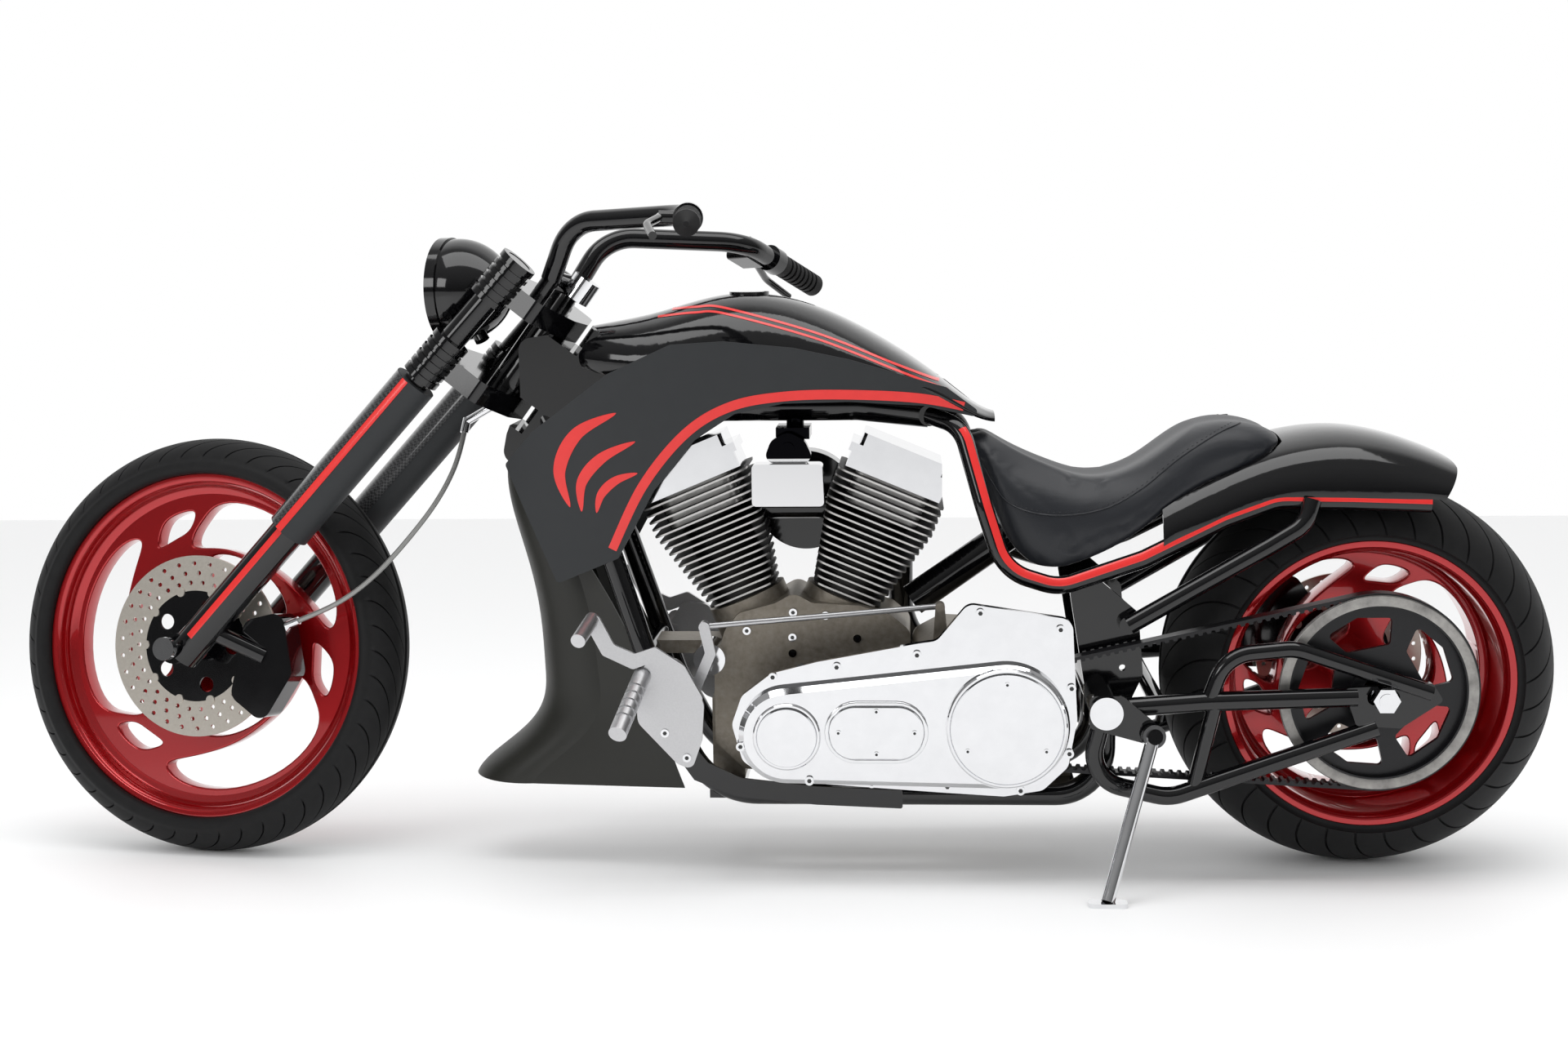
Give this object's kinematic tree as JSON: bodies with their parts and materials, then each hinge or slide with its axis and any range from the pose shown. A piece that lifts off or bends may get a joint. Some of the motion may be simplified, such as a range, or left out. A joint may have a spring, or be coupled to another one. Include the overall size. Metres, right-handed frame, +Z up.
{
  "type": "chopper motorcycle",
  "caption": "Long low chopper motorcycle with a V-twin engine, belt drive, a wide rear tyre and a raked fork, leaning on its side stand.",
  "frame": {"origin": "on the floor, under the middle of the whole machine's box as it stands on its side stand", "axes": "+X along the machine to the rear, +Y to the rider's right, +Z up"},
  "size_m": [2.7088, 0.9123, 1.1223],
  "materials": {
    "tyre": "matte black rubber",
    "red_rim": "candy red",
    "disc_steel": "drilled satin steel",
    "black_gloss": "gloss black",
    "matte_charcoal": "matte charcoal",
    "matte_olive": "matte olive black",
    "chrome": "polished",
    "raw_aluminium": "cast, worn",
    "pulley_black": "black anodised",
    "belt_rubber": "black rubber",
    "seat_leather": "blue-black leather",
    "lamp_glass": "clear"
  },
  "bodies": {
    "front_wheel": {"front_rim": "red_rim", "front_tyre": "tyre", "front_disc": "disc_steel"},
    "rear_wheel": {"rear_rim": "red_rim", "rear_tyre": "tyre", "rear_disc": "disc_steel", "rear_pulley": "pulley_black"},
    "fork": {"fork_sliders": "black_gloss", "fork_covers": "matte_charcoal", "lower_tree": "black_gloss", "upper_tree": "black_gloss", "front_axle": "chrome", "headlight": "black_gloss", "headlight_lens": "lamp_glass", "handlebar": "black_gloss", "grips": "belt_rubber", "hand_controls": "black_gloss", "gauge": "chrome", "front_caliper": "black_gloss", "hose_fittings": "chrome", "brake_hose": "belt_rubber"},
    "chassis": {"drive_belt": "belt_rubber", "front_pulley": "pulley_black", "tank_shell": "black_gloss", "fuel_cap": "chrome", "tank_panel_left": "matte_charcoal", "tank_panel_right": "matte_charcoal", "chin_fairing": "matte_olive", "frame_backbone": "black_gloss", "frame_cradle": "black_gloss", "frame_post": "black_gloss", "seat_rails": "black_gloss", "swingarm_left": "black_gloss", "swingarm_right": "black_gloss", "swingarm_bridge": "black_gloss", "swingarm_pivot": "chrome", "rear_axle": "chrome", "crankcase": "raw_aluminium", "oil_filter": "chrome", "gearbox": "raw_aluminium", "front_cylinder": "black_gloss", "rear_cylinder": "black_gloss", "front_rocker_box": "chrome", "rear_rocker_box": "chrome", "primary_cover": "chrome", "inner_primary": "black_gloss", "coil_block": "chrome", "cam_cover": "chrome", "air_cleaner": "black_gloss", "exhaust": "black_gloss", "seat": "seat_leather", "rear_fender": "black_gloss", "left_foot_control": "chrome", "right_foot_control": "chrome", "rear_caliper": "black_gloss", "stand_bracket": "chrome"},
    "side_stand": {"side_stand": "chrome"}
  },
  "joints": [
    {"name": "steering", "type": "hinge", "parent": "chassis", "child": "fork", "pos_m": [-0.39984, 0.02519, 0.87997], "axis": [0.5933, -0.0562, 0.803], "range_deg": [-15.9, 44.1]},
    {"name": "front_wheel_spin", "type": "hinge", "parent": "fork", "child": "front_wheel", "pos_m": [-0.99036, 0.10365, 0.36911], "axis": [0.1961, 0.9776, -0.0765], "continuous": true},
    {"name": "rear_wheel_spin", "type": "hinge", "parent": "chassis", "child": "rear_wheel", "pos_m": [1.0214, 0.06347, 0.33258], "axis": [0, 0.9976, 0.0698], "continuous": true},
    {"name": "stand_fold", "type": "hinge", "parent": "chassis", "child": "side_stand", "pos_m": [0.64841, -0.1991, 0.25704], "axis": [0.1598, -0.9832, 0.0878], "range_deg": [0, 97.12]}
  ]
}
